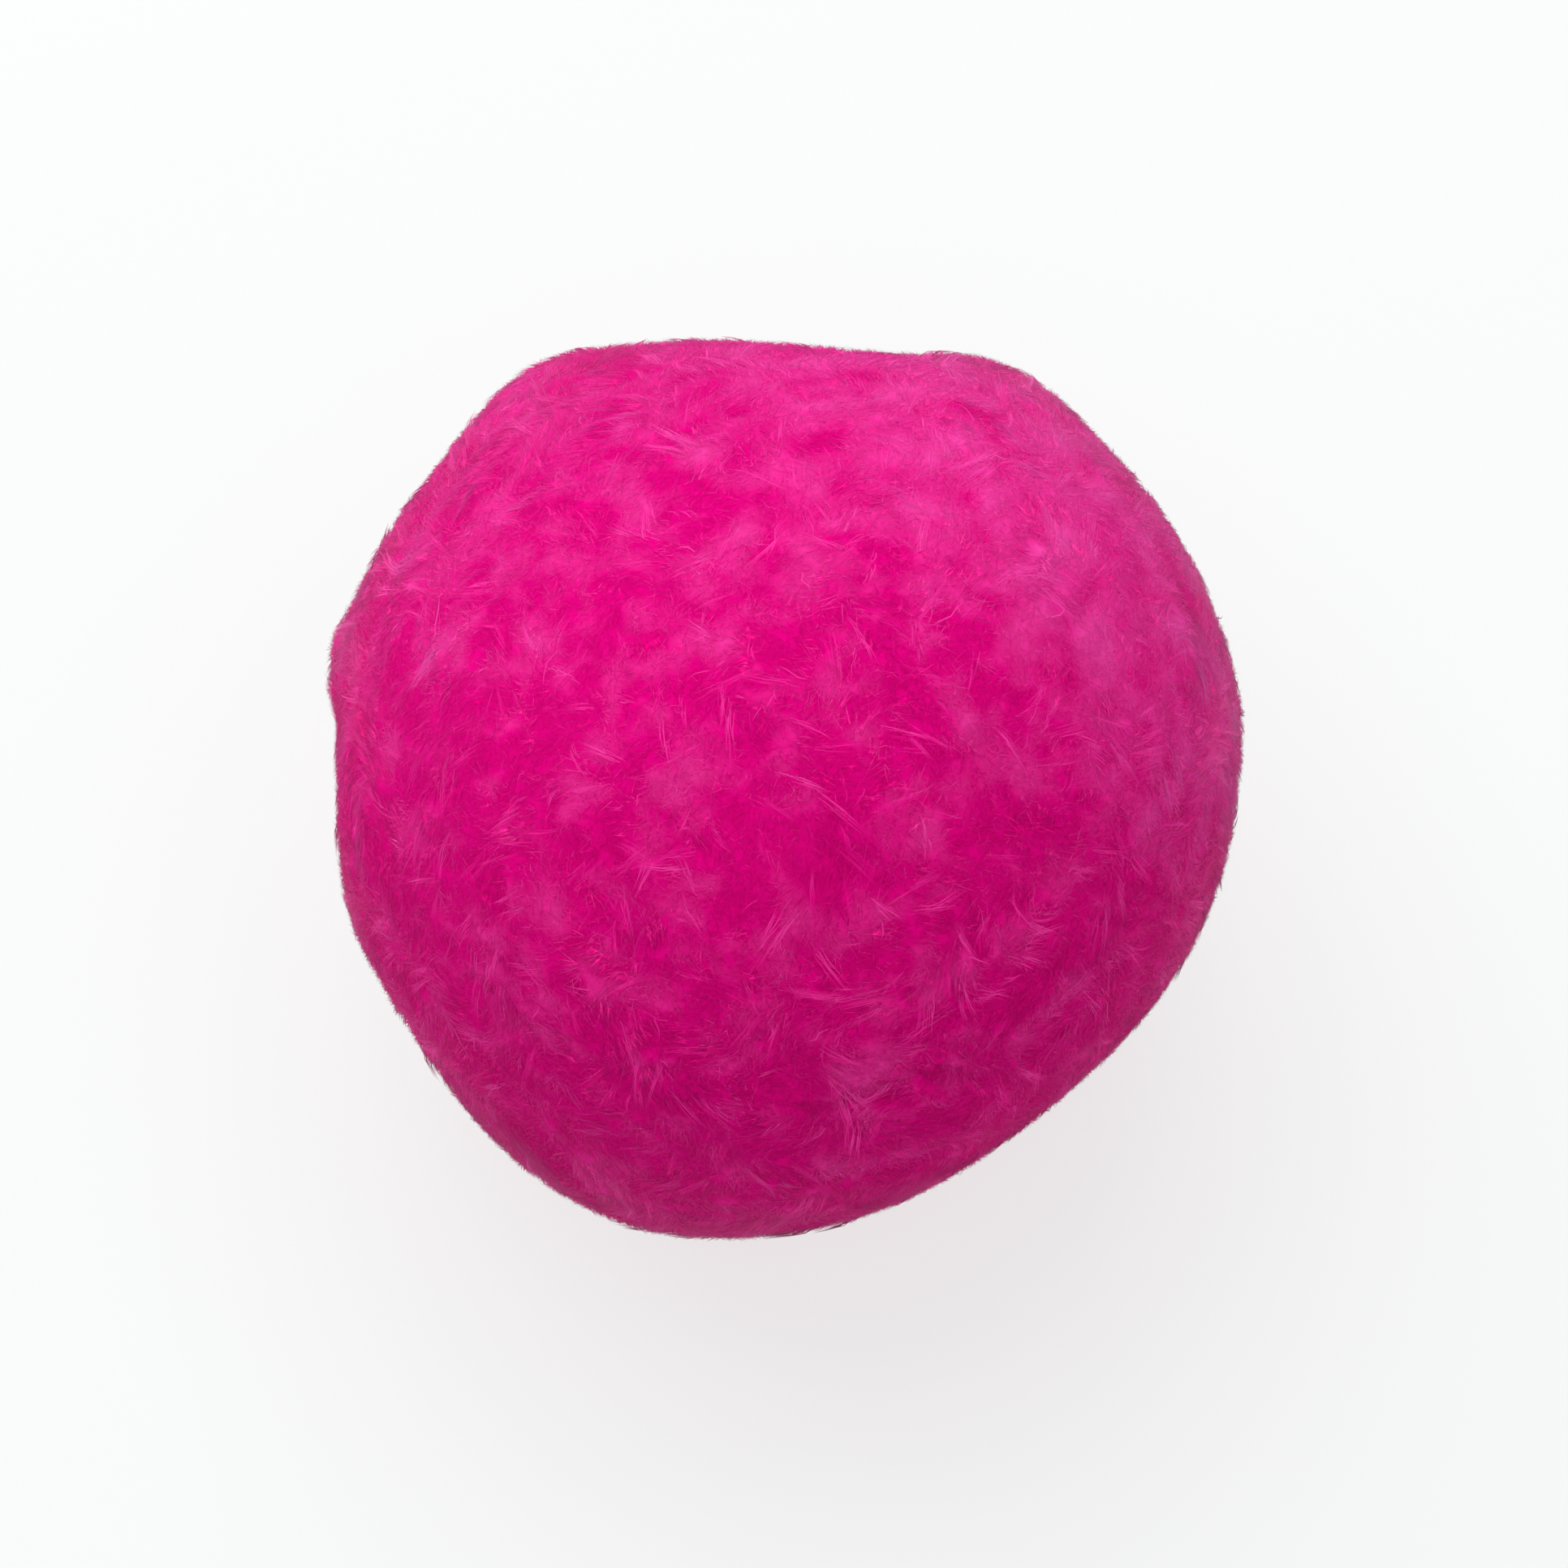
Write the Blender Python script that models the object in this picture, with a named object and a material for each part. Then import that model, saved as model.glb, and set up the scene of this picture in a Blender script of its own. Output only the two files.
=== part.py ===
# Craft pompom, 25 mm: a ball of short fine fibres, wound tight, tied through its middle and trimmed round.
# Metres, +Z up. The ball rests on z = 0 on a small flat spot, centred over the origin.

import math
import random

import bmesh
import bpy
from mathutils import Vector

# Driving dimensions
ball_radius = 0.01288  # mean trimmed radius
centre_height = 0.01210  # ball centre above the surface that it rests on
core_radius = 0.0072  # where the locks' roots fuse
root_gap = 0.00010  # half the gap between two locks, at their roots
lock_corners = 268  # corners shared by the locks' roots, which makes 286 locks
foot_spread = 0.155  # radians from straight down to the corners of the lock in the middle of the flat spot
corner_jitter = 0.035  # radians, how far a lock's corner strays from an even layout
pairing_angle = math.radians(80)  # two root triangles this alike or more make one four-sided root
seed = 7

# How a lock runs from its root to its cut end: height is a share of the way out from the core, and
# closing is how far its corners draw in to its own axis from the level below, as a share of its width.
lock_levels = [
    {"height": 0.91, "closing": 0.00},
    {"height": 0.975, "closing": 0.05},
    {"height": 1.00, "closing": 0.09},
]
end_stagger = 0.00015  # a cut end stands up to this much higher or lower than the ball's surface

# The ball is uneven: each row is a swelling or a hollow, by azimuth from +X and elevation in degrees,
# how far it rises in millimetres, and how wide it spreads in degrees.
lumps = [
    {"azimuth": 82, "elevation": 20, "rise": -0.95, "spread": 13},
    {"azimuth": 61, "elevation": 17, "rise": 0.65, "spread": 14},
    {"azimuth": 30, "elevation": 10, "rise": 0.30, "spread": 24},
    {"azimuth": 123, "elevation": 17, "rise": 1.00, "spread": 13},
    {"azimuth": 148, "elevation": 10, "rise": 0.45, "spread": 16},
    {"azimuth": 165, "elevation": 5, "rise": 0.50, "spread": 8},
    {"azimuth": 181, "elevation": 0, "rise": -0.55, "spread": 10},
    {"azimuth": -149, "elevation": -10, "rise": -0.85, "spread": 8},
    {"azimuth": -113, "elevation": -18, "rise": 0.45, "spread": 18},
    {"azimuth": -50, "elevation": -16, "rise": -1.05, "spread": 30},
    {"azimuth": 10, "elevation": 2, "rise": 0.20, "spread": 9},
    {"azimuth": 20, "elevation": 52, "rise": 0.35, "spread": 26},
    {"azimuth": 150, "elevation": 60, "rise": -0.30, "spread": 24},
    {"azimuth": -95, "elevation": 48, "rise": 0.30, "spread": 28},
    {"azimuth": -30, "elevation": 25, "rise": -0.25, "spread": 20},
    {"azimuth": -160, "elevation": 30, "rise": 0.25, "spread": 20},
    {"azimuth": 75, "elevation": -35, "rise": -0.30, "spread": 22},
    {"azimuth": 160, "elevation": -35, "rise": -0.35, "spread": 22},
]


def direction(azimuth, elevation):
    """Unit vector from the ball's centre, from angles in degrees."""
    a, e = math.radians(azimuth), math.radians(elevation)
    return Vector((math.cos(e) * math.cos(a), math.cos(e) * math.sin(a), math.sin(e)))


def reach(way):
    """Distance from the ball's centre to its trimmed surface: lumpy all round, level underneath."""
    radius = ball_radius
    for lump in lumps:
        angle = math.degrees(way.angle(direction(lump["azimuth"], lump["elevation"])))
        radius += 0.001 * lump["rise"] * math.exp(-((angle / lump["spread"]) ** 2))
    if way.z < 0:
        radius = min(radius, centre_height / -way.z)
    return radius


def corner_directions():
    """Where the locks' corners lie: an even spiral over the ball, strayed a little, with one lock straight down."""
    stray = random.Random(seed)
    golden_turn = math.pi * (3 - math.sqrt(5))
    corners = [
        Vector(
            (
                math.sin(foot_spread) * math.cos(turn * math.pi / 2),
                math.sin(foot_spread) * math.sin(turn * math.pi / 2),
                -math.cos(foot_spread),
            )
        )
        for turn in range(4)
    ]
    for i in range(len(corners), lock_corners):
        z = -1 + (2 * i + 1) / lock_corners
        flat = math.sqrt(1 - z * z)
        way = Vector((flat * math.cos(i * golden_turn), flat * math.sin(i * golden_turn), z))
        way += Vector([stray.uniform(-corner_jitter, corner_jitter) for _ in range(3)])
        corners.append(way.normalized())
    return corners


def core_with_root_faces(corners):
    """The dense middle of the ball, with a face of four sides, or a few of three, for each lock's root."""
    bm = bmesh.new()
    for way in corners:
        bm.verts.new(way * core_radius)
    bmesh.ops.convex_hull(bm, input=bm.verts)
    bmesh.ops.join_triangles(
        bm, faces=bm.faces, angle_face_threshold=pairing_angle, angle_shape_threshold=pairing_angle
    )
    roots = list(bm.faces)
    bmesh.ops.inset_individual(bm, faces=roots, thickness=root_gap)
    return bm, roots


def grow_locks(bm, faces):
    """Each root face is drawn outwards, level by level, into a lock that ends on the trimmed surface."""
    for level in lock_levels:
        faces = bmesh.ops.extrude_discrete_faces(bm, faces=faces)["faces"]
        for face in faces:
            axis = sum((vert.co for vert in face.verts), Vector()).normalized()
            for vert in face.verts:
                way = vert.co.normalized().lerp(axis, level["closing"]).normalized()
                vert.co = way * (core_radius + (reach(way) - core_radius) * level["height"])
    return faces


def stagger_ends(ends):
    """Cut ends stand a little higher or lower than the next ones, but for those that the ball stands on."""
    stray = random.Random(seed + 1)
    for face in ends:
        shift = face.calc_center_median().normalized() * stray.uniform(-end_stagger, end_stagger)
        if min(vert.co.z for vert in face.verts) > end_stagger - centre_height:
            for vert in face.verts:
                vert.co += shift


def stand_on_surface(bm):
    """Lifts the ball onto z = 0 and centres its outline over the origin."""
    xs = [v.co.x for v in bm.verts]
    ys = [v.co.y for v in bm.verts]
    middle = Vector(((min(xs) + max(xs)) / 2, (min(ys) + max(ys)) / 2, -centre_height))
    bmesh.ops.translate(bm, verts=bm.verts, vec=-middle)


def pile_material():
    """Hot pink matt acrylic fibre."""
    mat = bpy.data.materials.new("hot_pink_pile")
    mat.use_nodes = True
    shader = mat.node_tree.nodes["Principled BSDF"]
    shader.inputs["Base Color"].default_value = (0.78, 0.02, 0.24, 1.0)
    shader.inputs["Roughness"].default_value = 0.9
    shader.inputs["Metallic"].default_value = 0.0
    return mat


def build_pompom():
    for ob in list(bpy.data.objects):
        bpy.data.objects.remove(ob, do_unlink=True)
    parts = bpy.data.collections.new("craft_pompom")
    bpy.context.scene.collection.children.link(parts)

    bm, roots = core_with_root_faces(corner_directions())
    stagger_ends(grow_locks(bm, roots))
    stand_on_surface(bm)
    bmesh.ops.recalc_face_normals(bm, faces=bm.faces)
    mesh = bpy.data.meshes.new("fibre_ball")
    bm.to_mesh(mesh)
    bm.free()
    mesh.materials.append(pile_material())
    parts.objects.link(bpy.data.objects.new("fibre_ball", mesh))


build_pompom()
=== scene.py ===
# Hot pink craft pompom: its pile, materials, light and camera. Metres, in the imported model's own frame.

import math

import bpy
import numpy as np
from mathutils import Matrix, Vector


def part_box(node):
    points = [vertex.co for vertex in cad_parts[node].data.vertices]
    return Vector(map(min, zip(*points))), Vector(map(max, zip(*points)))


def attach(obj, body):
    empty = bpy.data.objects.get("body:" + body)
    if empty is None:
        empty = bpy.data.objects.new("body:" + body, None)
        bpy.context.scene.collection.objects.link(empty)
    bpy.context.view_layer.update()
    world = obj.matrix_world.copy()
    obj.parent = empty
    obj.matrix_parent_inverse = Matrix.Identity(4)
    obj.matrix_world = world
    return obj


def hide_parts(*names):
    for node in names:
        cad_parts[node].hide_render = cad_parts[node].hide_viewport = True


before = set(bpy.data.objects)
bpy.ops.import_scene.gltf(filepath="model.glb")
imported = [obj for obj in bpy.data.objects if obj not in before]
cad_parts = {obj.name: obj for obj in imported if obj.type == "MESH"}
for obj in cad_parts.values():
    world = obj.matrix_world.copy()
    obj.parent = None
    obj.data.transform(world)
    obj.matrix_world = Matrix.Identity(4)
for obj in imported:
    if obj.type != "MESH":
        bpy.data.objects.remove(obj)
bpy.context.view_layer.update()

mm = 0.001

# Form of the ball

ball = {
    "radius": 12.88 * mm,  # mean trimmed radius
    "centreHeight": 12.10 * mm,  # centre of the ball above the floor
    "samples": 40000,  # points on its surface that show how far it reaches
}

# swellings and hollows: degrees round from +X and up, rise in mm, spread in degrees
lumps = [
    dict(azimuth=82, elevation=20, rise=-0.95, spread=13),
    dict(azimuth=61, elevation=17, rise=0.65, spread=14),
    dict(azimuth=30, elevation=10, rise=0.30, spread=24),
    dict(azimuth=123, elevation=17, rise=1.00, spread=13),
    dict(azimuth=148, elevation=10, rise=0.45, spread=16),
    dict(azimuth=165, elevation=5, rise=0.50, spread=8),
    dict(azimuth=181, elevation=0, rise=-0.55, spread=10),
    dict(azimuth=-149, elevation=-10, rise=-0.85, spread=8),
    dict(azimuth=-113, elevation=-18, rise=0.45, spread=18),
    dict(azimuth=-50, elevation=-16, rise=-1.05, spread=30),
    dict(azimuth=10, elevation=2, rise=0.20, spread=9),
    dict(azimuth=20, elevation=52, rise=0.35, spread=26),
    dict(azimuth=150, elevation=60, rise=-0.30, spread=24),
    dict(azimuth=-95, elevation=48, rise=0.30, spread=28),
    dict(azimuth=-30, elevation=25, rise=-0.25, spread=20),
    dict(azimuth=-160, elevation=30, rise=0.25, spread=20),
    dict(azimuth=75, elevation=-35, rise=-0.30, spread=22),
    dict(azimuth=160, elevation=-35, rise=-0.35, spread=22),
]


def unit(vectors):
    justAboveZero = 1e-12
    return vectors / (np.linalg.norm(vectors, axis=-1, keepdims=True) + justAboveZero)


def wayTo(azimuth, elevation):
    a, e = math.radians(azimuth), math.radians(elevation)
    return np.array([math.cos(e) * math.cos(a), math.cos(e) * math.sin(a), math.sin(e)])


def alongSkin(ways, vectors):
    # what is left of the vectors once they are laid flat on the ball
    return vectors - ways * (vectors * ways).sum(-1, keepdims=True)


def reachOf(ways):
    # from the centre of the ball to its trimmed surface, which is level on the floor
    radius = np.full(ways.shape[:-1], ball["radius"])
    for lump in lumps:
        angle = np.degrees(np.arccos(np.clip(ways @ wayTo(lump["azimuth"], lump["elevation"]), -1, 1)))
        radius += mm * lump["rise"] * np.exp(-((angle / lump["spread"]) ** 2))
    drop = np.maximum(-ways[..., 2], 0.01)  # sideways and up, the floor is out of reach
    return np.minimum(radius, ball["centreHeight"] / drop)


def evenWays(count, stray, rng):
    # an even spiral over the ball, from its foot to its crown, strayed by a share of its own spacing
    i = np.arange(count)
    z = -1 + (2 * i + 1) / count
    turn = i * math.pi * (3 - math.sqrt(5))
    flat = np.sqrt(1 - z * z)
    ways = np.stack([flat * np.cos(turn), flat * np.sin(turn), z], -1)
    spacing = math.sqrt(4 * math.pi / count)
    return unit(ways + rng.normal(0, stray * spacing, ways.shape))


def findCentre():
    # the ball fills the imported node's box from side to side, and stands on its lowest level
    low, high = (np.array(corner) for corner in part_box("fibre_ball"))
    ways = evenWays(ball["samples"], 0, np.random.default_rng(0))
    skin = ways * reachOf(ways)[:, None]
    middle = (low + high) / 2 - (skin.min(0) + skin.max(0)) / 2
    return np.array([middle[0], middle[1], low[2] + ball["centreHeight"]])


centre = findCentre()
floorLevel = centre[2] - ball["centreHeight"]
print("ball centre, mm:", np.round(centre / mm, 2))


# Lie of the pile: soft waves over the ball, which its fibres share

lie = {
    "seed": 21,
    "waves": 48,  # plane waves summed for each size
    "pitches": (0.75, 1.3),  # least and most pitch among the waves of one size
    "tuft": 0.95 * mm,  # small tufts, whose crests draw fibre ends together
    "tuftRise": 0.03,  # mm, how far fibre ends stand up on a crest
    "swirl": 3.4 * mm,  # broad swirls
    "streak": 0.27 * mm,  # across a streak of paler fibre and the gap beside it
    "streakRun": 0.8 * mm,  # and along it
    "streakSteps": 7,
    "droop": 0.8,  # how much the fibres lie down the sides of the ball instead of swirling
    "patches": (2.4 * mm, 1.1 * mm, 0.5 * mm),  # cloudy mottling, and how strong each size of it is
    "patchShares": (0.70, 0.45, 0.45),
}

# sides of the ball with painted sheen, a paler pink where light catches the fibre, and how many degrees
# off each it starts and is full
paintedSheenSides = [
    dict(towards=(0.76, 0.60, 0.25), strength=1.40, starts=72, full=36),
    dict(towards=(-0.55, 0.62, 0.56), strength=0.45, starts=53, full=26),
]


def makeWaves(size, seed):
    rng = np.random.default_rng(seed)
    heading = unit(rng.normal(size=(lie["waves"], 3)))
    pitch = 2 * math.pi / size * rng.uniform(*lie["pitches"], (lie["waves"], 1))
    return {"k": heading * pitch, "phase": rng.uniform(0, 2 * math.pi, lie["waves"]), "size": size}


def heightOf(waves, points):
    # between about -2 and 2
    gain = math.sqrt(2 / lie["waves"])
    return np.cos(points @ waves["k"].T + waves["phase"]).sum(-1) * gain


def climbOf(waves, points):
    # how the height climbs, per size of the waves
    gain = math.sqrt(2 / lie["waves"]) * waves["size"] / (2 * math.pi)
    return -np.sin(points @ waves["k"].T + waves["phase"]) @ waves["k"] * gain


tuftWaves = makeWaves(lie["tuft"], lie["seed"])
swirlWaves = makeWaves(lie["swirl"], lie["seed"] + 1)
streakWaves = makeWaves(lie["streak"], lie["seed"] + 2)
patchWaves = [makeWaves(size, lie["seed"] + 3 + i) for i, size in enumerate(lie["patches"])]


def lieAt(ways):
    # which way the fibres lie on the ball
    swirl = np.cross(ways, climbOf(swirlWaves, ways * ball["radius"]))
    return alongSkin(ways, swirl - np.array([0, 0, lie["droop"]]))


def streaksAt(ways):
    # fine waves smeared along the lie of the pile, which leaves soft streaks
    heading = unit(lieAt(ways))
    steps = np.linspace(-0.5, 0.5, lie["streakSteps"]) * lie["streakRun"]
    smear = [heightOf(streakWaves, ways * ball["radius"] + heading * step) for step in steps]
    return sum(smear) / math.sqrt(len(steps))


def patchesAt(ways):
    heights = [heightOf(waves, ways * ball["radius"]) for waves in patchWaves]
    return sum(share * height for share, height in zip(lie["patchShares"], heights))


def paintedSheenAt(ways):
    # painted sheen: none on most of the ball, and more towards the sides where light catches the fibre
    paintedSheen = np.zeros(len(ways))
    for side in paintedSheenSides:
        angle = np.degrees(np.arccos(np.clip(ways @ unit(np.array(side["towards"])), -1, 1)))
        near = np.clip((side["starts"] - angle) / (side["starts"] - side["full"]), 0, 1)
        paintedSheen += side["strength"] * near * near * (3 - 2 * near)
    return paintedSheen


# Fibres

# sizes in mm; the widths are at a fibre's joints, from its root up, and it ends in a point
pileLook = {
    "count": 264000,
    "scatter": 0.45,  # how far roots stray from an even layout, as a share of their spacing
    "width": (0.038,),
    "depth": (0.24, 0.32),  # of the roots under the trimmed surface
    "over": (-0.12, -0.01),  # ends below or above the trimmed surface
    "rise": 1.0,  # under 1 it climbs early and then lies flatter
    "lean": 0.42,  # how far an end strays sideways by itself
    "flow": 0.32,  # how far it drifts with the lie of the pile
    "gather": 0.12,  # how far the crests of tufts draw it in
    "crimp": 0.0,  # how far it swings to and fro along its run
    "turns": 0.0,  # how many times it does
    "softness": 0.90,  # how far a fibre shades with the ball instead of by itself
    "bundle": 1,  # fibres that run side by side
    "stagger": 0.0,  # how far their starts lie apart along their run
    "paler": 0.0,  # than the ball around it
    "dims": True,  # whether it takes light from the fibres around it
    "seed": 31,
}

wispLook = {
    "count": 16000,
    "scatter": 0.9,
    "width": (0.028, 0.024),
    "depth": (0.26, 0.34),
    "over": (-0.06, 0.01),
    "rise": 0.40,
    "lean": 0.48,
    "flow": 0.85,
    "gather": 0.05,
    "crimp": 0.05,
    "turns": 0.5,
    "softness": 0.95,
    "bundle": 8,
    "apart": 0.07,  # between the fibres of a bundle
    "stagger": 0.40,
    "paler": 0.6,
    "dims": False,
    "seed": 32,
}

strayLook = {
    "count": 500,
    "scatter": 0.9,
    "width": (0.050, 0.045, 0.040, 0.030),
    "depth": (0.30, 0.50),
    "over": (-0.06, 0.05),
    "rise": 0.60,
    "lean": 0.90,
    "flow": 0.30,
    "gather": 0.0,
    "crimp": 0.08,
    "turns": 1.1,
    "softness": 0.92,
    "bundle": 1,
    "stagger": 0.0,
    "paler": 0.5,
    "dims": False,
    "seed": 33,
}

# how a crimped fibre swings: across its run, and by a share of that along it
curl = {
    "fullFrom": 0.4,  # share of the run from which it swings fully
    "turnSpread": (0.7, 1.3),  # of one fibre and another
    "alongShare": 0.5,
    "alongPace": 1.3,
}

shades = {
    "own": 0.12,  # how much one fibre's shade differs from the next one's
    "streak": 0.60,  # how much streaks change it
    "tuft": 0.15,  # how much the crests of tufts lighten it
    "patch": 0.50,  # how much the cloudy mottling changes it
}


# tufts and cloudy mottling, and painted sheen on the sides where light catches the fibre
def mottlingAndPaintedSheenAt(ways):
    clouds = shades["tuft"] * heightOf(tuftWaves, ways * ball["radius"])
    return clouds + shades["patch"] * patchesAt(ways) + paintedSheenAt(ways)


def addValues(mesh, label, values):
    attribute = mesh.attributes.new(label, "FLOAT", "POINT")
    attribute.data.foreach_set("value", values.astype(np.float32))


def bundleDraws(look, rng, columns):
    # the same random numbers for all the fibres of a bundle
    return np.repeat(rng.normal(size=(look["count"] // look["bundle"], columns)), look["bundle"], 0)


def fibreRuns(look, ways, rng):
    # points along each fibre, from root to tip, and a sideways direction that is square to its run
    count = len(ways)
    steps = np.linspace(0, 1, len(look["width"]) + 1)
    usualStray = 1.4  # length, laid flat, of a random draw in three directions
    drift = look["lean"] * mm / usualStray * bundleDraws(look, rng, 3) + look["flow"] * mm * lieAt(ways)
    drift = alongSkin(ways, drift)
    heading = unit(drift)
    square = unit(np.cross(ways, heading))
    ways = unit(ways + heading * rng.uniform(-1, 1, (count, 1)) * look["stagger"] * mm / ball["radius"])
    places = ways * ball["radius"]
    pull = alongSkin(ways, look["gather"] * mm * climbOf(tuftWaves, places))

    start = math.pi * bundleDraws(look, rng, 1)[:, 0]
    turns = look["turns"] * rng.uniform(*curl["turnSpread"], count)
    swing = start[:, None] + 2 * math.pi * turns[:, None] * steps
    fade = look["crimp"] * mm * np.minimum(steps / curl["fullFrom"], 1.0)
    alongRun = curl["alongShare"] * fade * np.cos(curl["alongPace"] * swing)
    crimp = (fade * np.sin(swing))[..., None] * square[:, None]
    crimp += alongRun[..., None] * heading[:, None]

    trail = places[:, None] + drift[:, None] * steps[:, None] + crimp
    trail = unit(trail + pull[:, None] * (steps ** 2)[:, None])
    root = reachOf(ways) - rng.uniform(*look["depth"], count) * mm
    over = rng.uniform(*look["over"], count) + lie["tuftRise"] * heightOf(tuftWaves, places)
    end = reachOf(trail[:, -1]) + over * mm
    out = root[:, None] + (end - root)[:, None] * steps ** look["rise"]
    points = centre + trail * out[..., None]
    lowest = floorLevel + look["width"][0] * mm / 2
    points[..., 2] = np.maximum(points[..., 2], lowest)
    return points, square


def tubeCorners(points, square, look):
    # three corners round each joint of a fibre and one at its point, and the way that each one shades
    rings = len(look["width"])
    run = unit(np.gradient(points, axis=1))
    side = unit(square[:, None] - run * (square[:, None] * run).sum(-1, keepdims=True))
    up = np.cross(run, side)
    half = np.array(look["width"]) * mm / 2
    turned = math.pi / 6 + np.arange(3) * 2 * math.pi / 3
    ring = np.cos(turned)[:, None] * side[:, :rings, None] + np.sin(turned)[:, None] * up[:, :rings, None]
    own = np.concatenate([ring.reshape(len(points), rings * 3, 3), run[:, -1:]], 1)
    ring = points[:, :rings, None] + ring * half[:, None, None]
    corners = np.concatenate([ring.reshape(len(points), rings * 3, 3), points[:, -1:]], 1)
    corners[..., 2] = np.maximum(corners[..., 2], floorLevel)
    outward = unit(corners - centre)
    return corners, unit(look["softness"] * outward + (1 - look["softness"]) * own)


# a fibre's own cell of the map for baking: shares of the cell's width and height
mapCell = {
    "left": 0.2,
    "middle": 0.5,
    "right": 0.8,
    "foot": 0.08,
    "height": 0.84,
}


def tubeFaces(rings):
    # triangles of one fibre, open at its hidden root, and where each corner lies in its cell of the map
    faces, places = [], []
    left, middle, right = mapCell["left"], mapCell["middle"], mapCell["right"]
    rows = [mapCell["foot"] + mapCell["height"] * step / rings for step in range(rings + 1)]
    for ring in range(rings - 1):
        for side in range(3):
            a, b = ring * 3 + side, ring * 3 + (side + 1) % 3
            faces += [(a, b, b + 3), (a, b + 3, a + 3)]
            places += [
                ((left, rows[ring]), (right, rows[ring]), (right, rows[ring + 1])),
                ((left, rows[ring]), (right, rows[ring + 1]), (left, rows[ring + 1])),
            ]
    last = (rings - 1) * 3
    for side in range(3):
        faces.append((last + side, last + (side + 1) % 3, rings * 3))
        places.append(((left, rows[rings - 1]), (right, rows[rings - 1]), (middle, rows[rings])))
    return np.array(faces), np.array(places)


def meshFromTubes(name, corners, normals, look, shade):
    count, each = corners.shape[:2]
    rings = len(look["width"])
    faces, places = tubeFaces(rings)
    index = (faces[None] + (np.arange(count) * each)[:, None, None]).reshape(-1)
    mesh = bpy.data.meshes.new(name)
    mesh.vertices.add(count * each)
    mesh.vertices.foreach_set("co", corners.astype(np.float32).reshape(-1))
    mesh.loops.add(len(index))
    mesh.loops.foreach_set("vertex_index", index.astype(np.int32))
    mesh.polygons.add(len(index) // 3)
    mesh.polygons.foreach_set("loop_start", np.arange(0, len(index), 3, dtype=np.int32))
    mesh.update(calc_edges=True)

    # how far up its fibre each corner lies, which sets the painted shade at the root
    along = np.append(np.repeat(np.arange(rings), 3), rings) / rings
    addValues(mesh, "alongFibre", np.tile(along, count))
    addValues(mesh, "fibreShade", np.repeat(shade, each))

    # a cell of the map for each fibre, so that a bake keeps every fibre's own shade
    across = math.ceil(math.sqrt(count * 2))
    down = math.ceil(count / across)
    cell = np.stack([np.arange(count) % across, np.arange(count) // across], -1)
    uv = (places[None] + cell[:, None, None]) / (across, down)
    layer = mesh.uv_layers.new(name="OFBake")
    layer.uv.foreach_set("vector", uv.astype(np.float32).reshape(-1))
    mesh.shade_smooth()
    mesh.normals_split_custom_set_from_vertices(normals.reshape(-1, 3))
    return mesh


def addPiece(name, mesh, material):
    piece = bpy.data.objects.new(name, mesh)
    bpy.context.scene.collection.objects.link(piece)
    mesh.materials.append(material)
    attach(piece, "root")
    return piece


def addFibres(names, look, ways, material, rng):
    # shares the fibres out among the named pieces, from the foot of the ball to its crown
    points, square = fibreRuns(look, ways, rng)
    shade = look["paler"] + rng.normal(0, shades["own"], len(ways))
    # paler streaks and mottling, with painted sheen on the sides where light catches the fibre
    shade += shades["streak"] * streaksAt(ways) + mottlingAndPaintedSheenAt(ways)
    corners, normals = tubeCorners(points, square, look)
    for name, share in zip(names, np.array_split(np.arange(len(ways)), len(names))):
        mesh = meshFromTubes(name, corners[share], normals[share], look, shade[share])
        piece = addPiece(name, mesh, material)
        piece.visible_shadow = False  # fibre this fine lets the light through to the undercoat
        piece.visible_diffuse = look["dims"]
        print(name, len(share), "fibres,", len(mesh.polygons), "triangles")


def addPile(material):
    rng = np.random.default_rng(pileLook["seed"])
    ways = evenWays(pileLook["count"], pileLook["scatter"], rng)
    addFibres(["pileFoot", "pileLower", "pileUpper", "pileCrown"], pileLook, ways, material, rng)


def addWisps(material):
    rng = np.random.default_rng(wispLook["seed"])
    ways = evenWays(wispLook["count"] // wispLook["bundle"], wispLook["scatter"], rng)
    ways = np.repeat(ways, wispLook["bundle"], 0)
    apart = rng.normal(0, wispLook["apart"] * mm / ball["radius"], ways.shape)
    addFibres(["wisps"], wispLook, unit(ways + apart), material, rng)


def addStrays(material):
    rng = np.random.default_rng(strayLook["seed"])
    ways = evenWays(strayLook["count"], strayLook["scatter"], rng)
    addFibres(["strayFibres"], strayLook, ways, material, rng)


# Undercoat: the dense felted fibre under the ends of the pile

undercoatLook = {
    "depth": 0.20 * mm,  # under the trimmed surface
    "subdivisions": 6,
    "unevenness": 0.035 * mm,  # it rises and falls with the tufts
}


def addUndercoat(material):
    bpy.ops.mesh.primitive_ico_sphere_add(subdivisions=undercoatLook["subdivisions"], radius=1)
    made = bpy.context.object
    mesh = made.data
    bpy.data.objects.remove(made)
    mesh.name = "undercoat"
    ways = np.empty(len(mesh.vertices) * 3, np.float32)
    mesh.vertices.foreach_get("co", ways)
    ways = unit(ways.reshape(-1, 3).astype(float))
    small = heightOf(tuftWaves, ways * ball["radius"])
    out = reachOf(ways) - undercoatLook["depth"] + undercoatLook["unevenness"] * small
    mesh.vertices.foreach_set("co", (centre + ways * out[:, None]).astype(np.float32).reshape(-1))
    mesh.update()
    mesh.shade_smooth()
    # the same mottling and painted sheen as the fibres above it
    addValues(mesh, "fibreShade", mottlingAndPaintedSheenAt(ways))
    while mesh.uv_layers:
        mesh.uv_layers.remove(mesh.uv_layers[0])
    piece = addPiece("undercoat", mesh, material)
    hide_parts("fibre_ball")
    print("undercoat", len(mesh.polygons), "triangles")


# Materials

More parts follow.
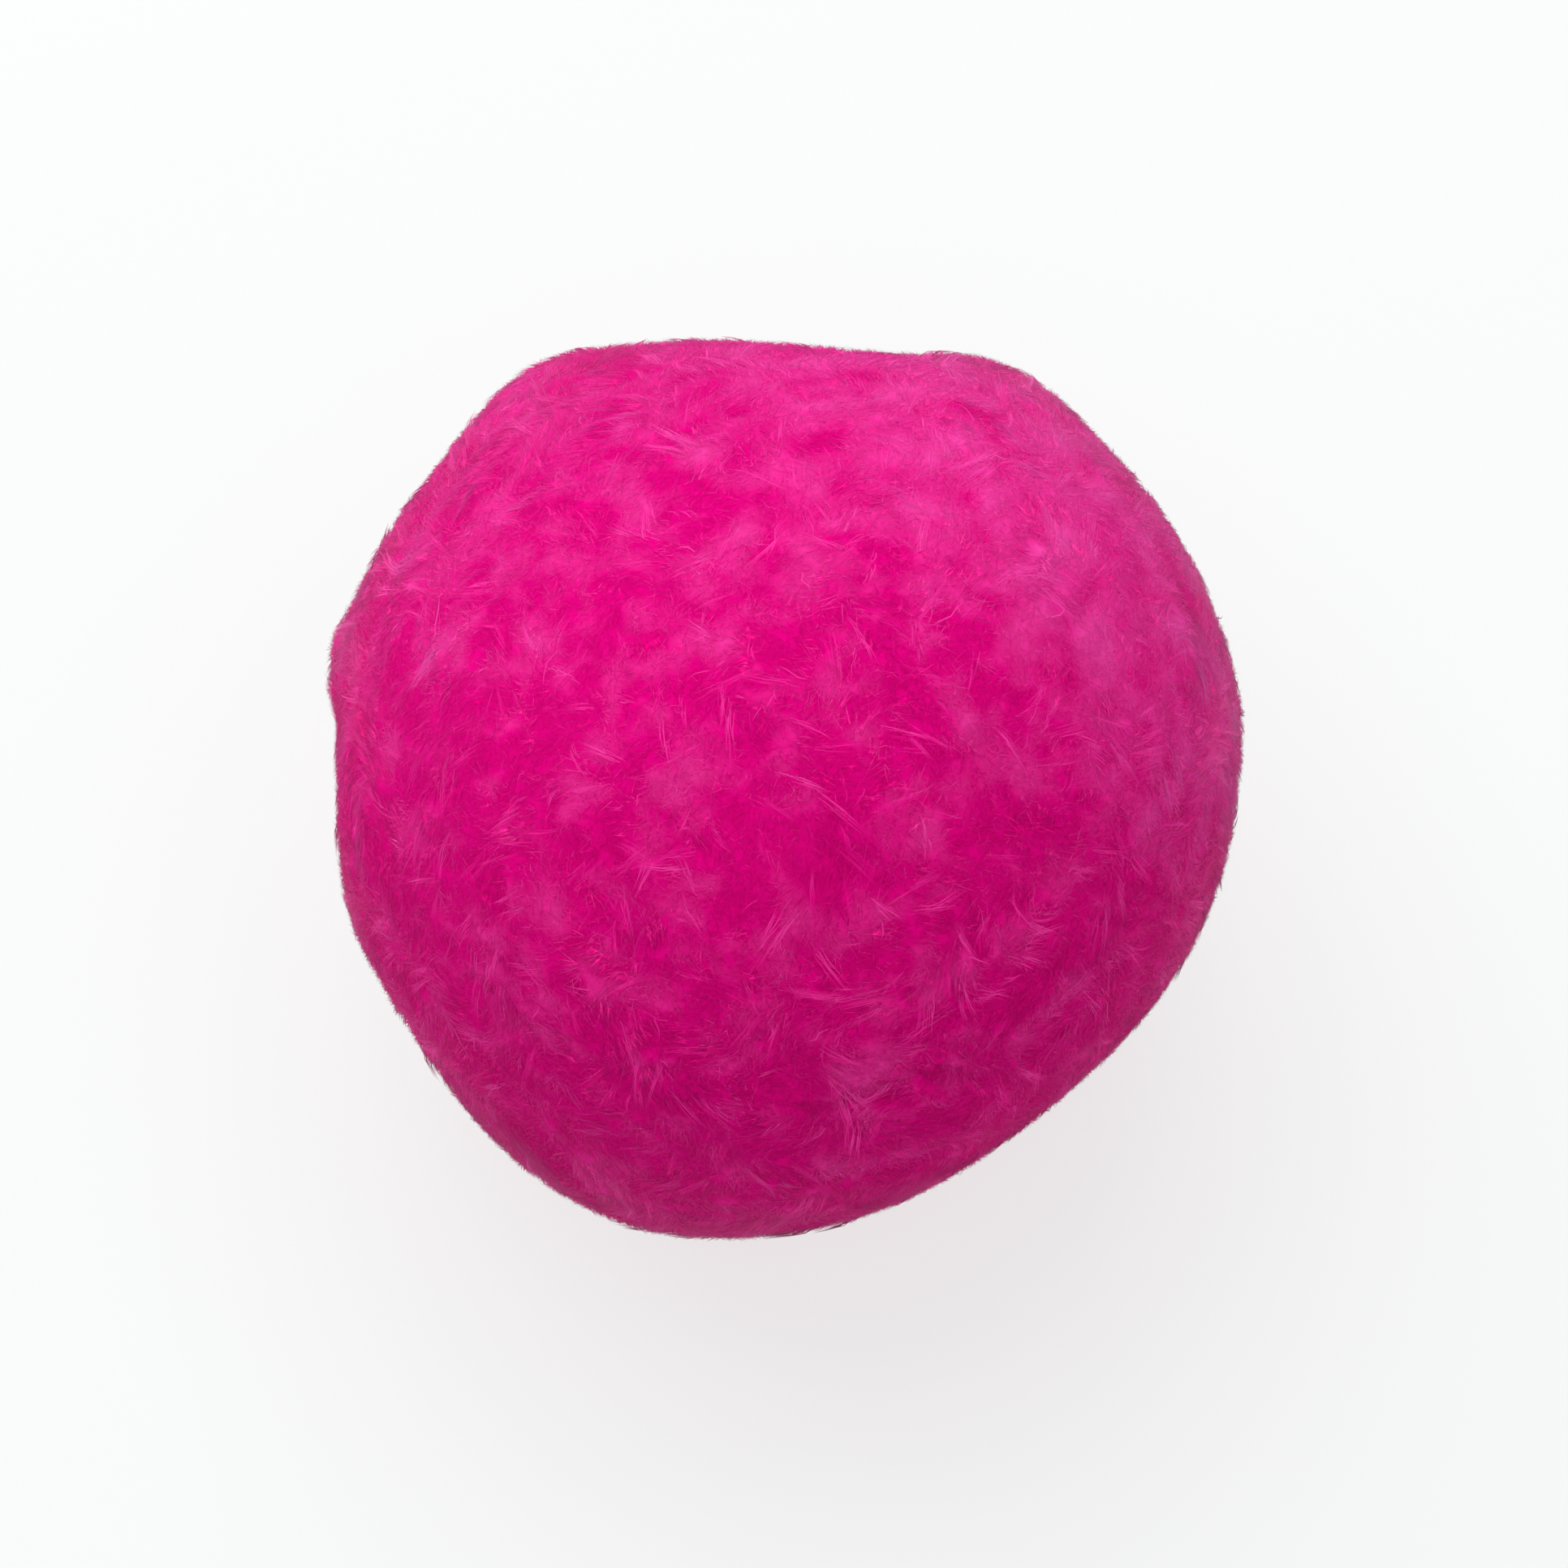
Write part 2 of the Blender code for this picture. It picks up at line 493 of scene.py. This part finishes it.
pinks = {
    "rootShade": (0.74, 0.0003, 0.190, 1),  # painted shade down between the fibres, at their roots
    "bright": (0.97, 0.0014, 0.290, 1),  # towards their cut ends
    "pale": (0.98, 0.1300, 0.540, 1),  # paler fibre in patches, streaks and wisps, and painted sheen where the light catches fibre
    "patchSize": 1.3,  # mm, soft mottling all over
    "patchDetail": 4.0,
    "patchRoughness": 0.62,
    "patchStrength": 0.4,
    "flecks": 0.20,  # how much one fibre differs from the next
}


def linkAll(tree, *pairs):
    for source, target in pairs:
        tree.links.new(source, target)


def mathNode(tree, operation, first, second):
    # each of the two is another node's socket or a plain number
    node = tree.nodes.new("ShaderNodeMath")
    node.operation = operation
    for socket, value in zip(node.inputs, (first, second)):
        if hasattr(value, "links"):
            tree.links.new(value, socket)
        else:
            socket.default_value = value
    return node.outputs[0]


def mixColours(tree, factor, first, second):
    mix = tree.nodes.new("ShaderNodeMix")
    mix.data_type = "RGBA"
    for name, source in (("Factor", factor), ("A", first), ("B", second)):
        socket = next(s for s in mix.inputs if s.name == name and s.enabled)
        tree.links.new(source, socket)
    return next(s for s in mix.outputs if s.enabled)


def makeFibreTone():
    # group: pink from painted shade at a fibre's root to bright at its cut end, paler in soft patches
    group = bpy.data.node_groups.new("fibreTone", "ShaderNodeTree")
    for label, kind, value in (
        ("Root Shade", "NodeSocketColor", pinks["rootShade"]),
        ("Bright", "NodeSocketColor", pinks["bright"]),
        ("Pale", "NodeSocketColor", pinks["pale"]),
        ("Along", "NodeSocketFloat", 0.5),
        ("Shade", "NodeSocketFloat", 0.0),
        ("Paleness", "NodeSocketFloat", 0.1),
        ("Flecks", "NodeSocketFloat", pinks["flecks"]),
        ("Patch Size", "NodeSocketFloat", pinks["patchSize"]),
        ("Patch Strength", "NodeSocketFloat", pinks["patchStrength"]),
    ):
        group.interface.new_socket(label, in_out="INPUT", socket_type=kind).default_value = value
    group.interface.new_socket("Color", in_out="OUTPUT", socket_type="NodeSocketColor")
    given = group.nodes.new("NodeGroupInput").outputs
    place = group.nodes.new("ShaderNodeTexCoord")
    patches = group.nodes.new("ShaderNodeTexNoise")
    patches.inputs["Detail"].default_value = pinks["patchDetail"]
    patches.inputs["Roughness"].default_value = pinks["patchRoughness"]
    scale = mathNode(group, "DIVIDE", 1 / mm, given["Patch Size"])
    patch = mathNode(group, "SUBTRACT", patches.outputs["Fac"], 0.5)
    patch = mathNode(group, "MULTIPLY", patch, given["Patch Strength"])
    fleck = mathNode(group, "MULTIPLY", given["Shade"], given["Flecks"])
    tone = mathNode(group, "ADD", given["Along"], fleck)
    paleness = mathNode(group, "ADD", given["Paleness"], patch)
    paleness = mathNode(group, "ADD", paleness, fleck)
    tone = mathNode(group, "ADD", tone, patch)
    # painted shade: darker down at a fibre's root, brighter at its cut end, and changed at random by
    # flecks and patches
    depth = mixColours(group, tone, given["Root Shade"], given["Bright"])
    colour = mixColours(group, paleness, depth, given["Pale"])
    linkAll(
        group,
        (place.outputs["Object"], patches.inputs["Vector"]),
        (scale, patches.inputs["Scale"]),
        (colour, group.nodes.new("NodeGroupOutput").inputs["Color"]),
    )
    return group


def newMaterial(name):
    material = bpy.data.materials.new(name)
    material.use_nodes = True
    return material, material.node_tree, material.node_tree.nodes["Principled BSDF"]


def addGroup(tree, group, **values):
    node = tree.nodes.new("ShaderNodeGroup")
    node.node_tree = group
    for label, value in values.items():
        node.inputs[label].default_value = value
    return node


fibreLook = {
    "roughness": 0.80,
    "gloss": 0.02,
    "sheen": 0.15,
    "sheenRoughness": 0.36,
    "sheenTint": (1.0, 0.80, 0.90, 1),
    "softLight": 0.15 * mm,  # how far light spreads from fibre to fibre
    "paleness": 0.01,
}


def softenLight(shader):
    shader.subsurface_method = "BURLEY"
    shader.inputs["Subsurface Weight"].default_value = 1.0
    shader.inputs["Subsurface Radius"].default_value = (1, 1, 1)
    shader.inputs["Subsurface Scale"].default_value = fibreLook["softLight"]


def makeFibreMaterial(name, tone, soft):
    material, tree, shader = newMaterial(name)
    along = tree.nodes.new("ShaderNodeAttribute")
    along.attribute_name = "alongFibre"
    shade = tree.nodes.new("ShaderNodeAttribute")
    shade.attribute_name = "fibreShade"
    pink = addGroup(tree, tone, Paleness=fibreLook["paleness"])
    linkAll(
        tree,
        (along.outputs["Fac"], pink.inputs["Along"]),
        (shade.outputs["Fac"], pink.inputs["Shade"]),
        (pink.outputs["Color"], shader.inputs["Base Color"]),
    )
    shader.inputs["Roughness"].default_value = fibreLook["roughness"]
    shader.inputs["Specular IOR Level"].default_value = fibreLook["gloss"]
    shader.inputs["Sheen Weight"].default_value = fibreLook["sheen"]
    shader.inputs["Sheen Roughness"].default_value = fibreLook["sheenRoughness"]
    shader.inputs["Sheen Tint"].default_value = fibreLook["sheenTint"]
    if soft:
        softenLight(shader)
    return material


feltLook = {
    "roughness": 0.95,
    "gloss": 0.02,
    "along": 0.5,  # as pink as a fibre is this far up, with its painted shade
    "paleness": 0.0,
    "grainScale": 5200,
    "grainDetail": 2.0,
    "bump": 0.25,
    "bumpHeight": 0.15 * mm,
}


def makeFeltMaterial(tone):
    material, tree, shader = newMaterial("hotPinkFelt")
    pink = addGroup(tree, tone, Along=feltLook["along"], Paleness=feltLook["paleness"])
    shade = tree.nodes.new("ShaderNodeAttribute")
    shade.attribute_name = "fibreShade"
    place = tree.nodes.new("ShaderNodeTexCoord")
    grain = tree.nodes.new("ShaderNodeTexNoise")
    grain.inputs["Scale"].default_value = feltLook["grainScale"]
    grain.inputs["Detail"].default_value = feltLook["grainDetail"]
    bump = tree.nodes.new("ShaderNodeBump")
    bump.inputs["Strength"].default_value = feltLook["bump"]
    bump.inputs["Distance"].default_value = feltLook["bumpHeight"]
    linkAll(
        tree,
        (shade.outputs["Fac"], pink.inputs["Shade"]),
        (pink.outputs["Color"], shader.inputs["Base Color"]),
        (place.outputs["Object"], grain.inputs["Vector"]),
        (grain.outputs["Fac"], bump.inputs["Height"]),
        (bump.outputs["Normal"], shader.inputs["Normal"]),
    )
    shader.inputs["Roughness"].default_value = feltLook["roughness"]
    shader.inputs["Specular IOR Level"].default_value = feltLook["gloss"]
    softenLight(shader)
    return material


# Stage

stageLook = {
    "floorSize": 8.0,
    "floorTint": (0.27, 0.29, 0.285, 1),
    "floorRoughness": 0.9,
    "floorGloss": 0.1,
    "floorGlow": 0.67,  # keeps the shadow faint
    "elevation": 70,  # the photo looks steeply down
    "azimuth": 0,  # straight along +Y
    "lens": 110,  # mm, on a 36 mm sensor
    "nearest": 0.01,  # where the camera begins to see
    "fill": 0.58,  # share of the picture's width that the ball takes
    "skyStrength": 0.65,
    "keyPower": 0.86,  # watts
    "keySize": 0.40,
    "keyFrom": (-0.085, 0.19, 0.25),  # from the ball
}


def addFloor():
    bpy.ops.mesh.primitive_plane_add(size=stageLook["floorSize"], location=(0, 0, floorLevel))
    floor = bpy.context.object
    floor.name = "floor"
    material, tree, shader = newMaterial("paleFloor")
    shader.inputs["Base Color"].default_value = stageLook["floorTint"]
    shader.inputs["Roughness"].default_value = stageLook["floorRoughness"]
    shader.inputs["Specular IOR Level"].default_value = stageLook["floorGloss"]
    shader.inputs["Emission Color"].default_value = (1, 1, 1, 1)
    shader.inputs["Emission Strength"].default_value = stageLook["floorGlow"]
    floor.data.materials.append(material)
    floor.visible_diffuse = False  # a real one lies in the shade of the ball, so it lights the ball less


def aim(thing, target):
    thing.rotation_euler = (Vector(target) - thing.location).to_track_quat("-Z", "Y").to_euler()


def addLights():
    world = bpy.data.worlds.new("softRoom")
    world.use_nodes = True
    sky = world.node_tree.nodes["Background"]
    sky.inputs["Color"].default_value = (1, 1, 1, 1)
    sky.inputs["Strength"].default_value = stageLook["skyStrength"]
    bpy.context.scene.world = world
    light = bpy.data.lights.new("keyLight", "AREA")
    light.energy = stageLook["keyPower"]
    light.size = stageLook["keySize"]
    key = bpy.data.objects.new("keyLight", light)
    key.location = centre + np.array(stageLook["keyFrom"])
    bpy.context.scene.collection.objects.link(key)
    aim(key, centre)


def addCamera():
    data = bpy.data.cameras.new("camera")
    data.lens = stageLook["lens"]
    camera = bpy.data.objects.new("camera", data)
    distance = 2 * ball["radius"] / stageLook["fill"] * data.lens / data.sensor_width
    back = wayTo(stageLook["azimuth"] - 90, stageLook["elevation"])
    camera.location = centre + back * distance
    data.clip_start = stageLook["nearest"]
    bpy.context.scene.collection.objects.link(camera)
    aim(camera, centre)
    bpy.context.scene.camera = camera


print("stage")
addFloor()
addLights()
addCamera()
bpy.context.scene.view_settings.view_transform = "Standard"

print("materials")
fibreTone = makeFibreTone()
hotPinkFibre = makeFibreMaterial("hotPinkFibre", fibreTone, soft=True)
looseFibre = makeFibreMaterial("hotPinkLooseFibre", fibreTone, soft=False)  # too thin to spread light
hotPinkFelt = makeFeltMaterial(fibreTone)

print("pile")
addUndercoat(hotPinkFelt)
addPile(hotPinkFibre)
addWisps(looseFibre)
addStrays(looseFibre)
